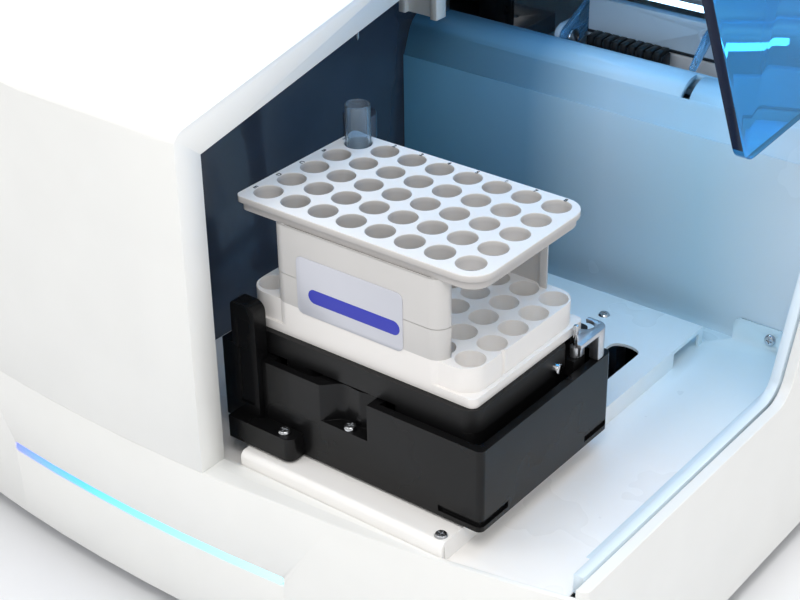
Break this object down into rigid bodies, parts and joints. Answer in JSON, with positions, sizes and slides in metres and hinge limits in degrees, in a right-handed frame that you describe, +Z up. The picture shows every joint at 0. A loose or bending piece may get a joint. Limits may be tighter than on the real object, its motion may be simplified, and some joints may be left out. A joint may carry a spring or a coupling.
{
  "type": "flow cytometer",
  "caption": "Benchtop flow cytometer with a bowed white housing, a lift-up tinted cover and a sampler bay holding a tube rack on a sliding carriage.",
  "frame": {"origin": "on the bench under the middle of the housing", "axes": "+X to the instrument's right, the sampler side; +Y to the back; +Z up"},
  "size_m": [0.47, 0.56, 0.4904],
  "materials": {
    "shell_white": "satin moulded white",
    "panel_white": "fine textured white paint",
    "liner_white": "smooth white",
    "navy_panel": "gloss dark navy",
    "chassis_steel": "zinc-plated sheet",
    "beam_paint": "satin grey",
    "black_plastic": "fine textured black",
    "tray_black": "smooth black",
    "cover_tint": "clear blue tint, polished edges",
    "arm_blue": "clear pale blue",
    "steel": "ground",
    "bright_steel": "bright",
    "aluminium": "satin anodised",
    "rubber": "matt",
    "rack_white": "fine matt moulded",
    "label_film": "satin printed film, pale grey with a plain blue pill",
    "tube_clear": "clear polystyrene",
    "light_guide": "frosted light guide",
    "motor_black": "satin black",
    "board_green": "solder mask",
    "pump_white": "satin",
    "barrel_clear": "clear acrylic"
  },
  "bodies": {
    "frame": {"base_pan": "chassis_steel", "feet": "rubber", "lower_front_panel": "shell_white", "status_light": "light_guide", "hood": "shell_white", "rear_roof": "shell_white", "right_side_panel": "shell_white", "rear_panel": "panel_white", "bay_liner": "liner_white", "bay_left_wall": "navy_panel", "bay_floor": "liner_white", "platform_cover": "liner_white", "bay_screws": "bright_steel", "bay_light": "light_guide", "bulkhead": "chassis_steel", "hinge_beam": "beam_paint", "hinge_pins": "bright_steel", "interlock_switch": "black_plastic", "drive_rails": "steel", "stepper_motors": "motor_black", "gantry_beam": "aluminium", "gantry_belt": "rubber", "cable_chain": "black_plastic", "wash_station": "tray_black", "optical_bench": "aluminium", "laser_heads": "motor_black", "detector_array": "motor_black", "syringe_barrel": "barrel_clear", "peristaltic_pump": "pump_white", "electronics": "board_green", "fan_frame": "black_plastic", "rear_connectors": "black_plastic"},
    "cover": {"tinted_cover": "cover_tint", "cover_arms": "arm_blue", "interlock_tongue": "arm_blue"},
    "carriage": {"carriage_slide": "aluminium", "carriage_tub": "black_plastic", "carriage_post": "black_plastic", "carriage_screws": "bright_steel", "shaker_motor": "motor_black"},
    "screw": {"lead_screw": "steel"},
    "crank": {"shaker_crank": "steel"},
    "cross": {"cross_slide": "aluminium"},
    "tray": {"shaker_tray": "tray_black", "tray_pins": "bright_steel"},
    "clamp": {"corner_clamp": "aluminium"},
    "rack": {"rack_plate": "rack_white", "rack_walls": "rack_white", "rack_base": "rack_white", "rack_label": "label_film"},
    "tube": {"sample_tube": "tube_clear"},
    "pulley_a": {"drive_pulley": "aluminium"},
    "pulley_b": {"idler_pulley": "aluminium"},
    "probe_x": {"probe_carriage": "pump_white"},
    "probe_z": {"probe_arm": "steel", "probe_needle": "bright_steel"},
    "plunger": {"syringe_plunger": "pump_white"},
    "pump": {"pump_rotor": "black_plastic"},
    "fan": {"fan_rotor": "black_plastic"},
    "switch": {"power_switch": "black_plastic"}
  },
  "joints": [
    {"name": "cover_hinge", "type": "hinge", "parent": "frame", "child": "cover", "pos_m": [0, 0.0075, 0.214], "axis": [1, 0, 0], "range_deg": [0, 64]},
    {"name": "carriage_travel", "type": "slide", "parent": "frame", "child": "carriage", "axis": [0, 1, 0], "range_m": [0, 0.115]},
    {"name": "screw_spin", "type": "hinge", "parent": "frame", "child": "screw", "pos_m": [0.105, -0.15, 0.057], "axis": [0, 1, 0], "continuous": true},
    {"name": "crank_spin", "type": "hinge", "parent": "carriage", "child": "crank", "pos_m": [0.117, -0.1975, 0.115], "axis": [0, 0, 1], "continuous": true},
    {"name": "cross_shift", "type": "slide", "parent": "carriage", "child": "cross", "axis": [1, 0, 0], "range_m": [-0.0015, 0.0015]},
    {"name": "tray_shift", "type": "slide", "parent": "cross", "child": "tray", "axis": [0, 1, 0], "range_m": [-0.0015, 0.0015]},
    {"name": "clamp_pivot", "type": "hinge", "parent": "tray", "child": "clamp", "pos_m": [0.1715, -0.1665, 0.15], "axis": [0, 0, 1], "range_deg": [-20, 0], "stiffness_Nm_per_rad": 0.02, "springref_deg": 17.19},
    {"name": "rack_lift", "type": "slide", "parent": "tray", "child": "rack", "axis": [0, 0, 1], "range_m": [0, 0.012]},
    {"name": "tube_lift", "type": "slide", "parent": "rack", "child": "tube", "axis": [0, 0, 1], "range_m": [0, 0.017]},
    {"name": "probe_traverse", "type": "slide", "parent": "frame", "child": "probe_x", "axis": [1, 0, 0], "range_m": [0, 0.15125]},
    {"name": "pulley_a_spin", "type": "hinge", "parent": "frame", "child": "pulley_a", "pos_m": [-0.018, -0.0225, 0.28137], "axis": [0, 1, 0], "continuous": true},
    {"name": "pulley_b_spin", "type": "hinge", "parent": "frame", "child": "pulley_b", "pos_m": [0.1995, -0.0225, 0.28137], "axis": [0, 1, 0], "continuous": true},
    {"name": "probe_dip", "type": "slide", "parent": "probe_x", "child": "probe_z", "axis": [0, 0, 1], "range_m": [-0.04, 0]},
    {"name": "plunger_stroke", "type": "slide", "parent": "frame", "child": "plunger", "axis": [0, 0, 1], "range_m": [0, 0.04]},
    {"name": "pump_spin", "type": "hinge", "parent": "frame", "child": "pump", "pos_m": [-0.09, -0.2, 0.06], "axis": [0, 0, 1], "continuous": true},
    {"name": "fan_spin", "type": "hinge", "parent": "frame", "child": "fan", "pos_m": [0.11, 0.265, 0.09], "axis": [0, 1, 0], "continuous": true},
    {"name": "power_rocker", "type": "hinge", "parent": "frame", "child": "switch", "pos_m": [0.167, 0.275, 0.042], "axis": [1, 0, 0], "range_deg": [0, 16]}
  ],
  "couplings": [
    {"joint": "screw_spin", "follows": "carriage_travel", "rad_per_m": 314.16},
    {"joint": "pulley_a_spin", "follows": "probe_traverse", "rad_per_m": 142.86},
    {"joint": "pulley_b_spin", "follows": "probe_traverse", "rad_per_m": 142.86}
  ]
}
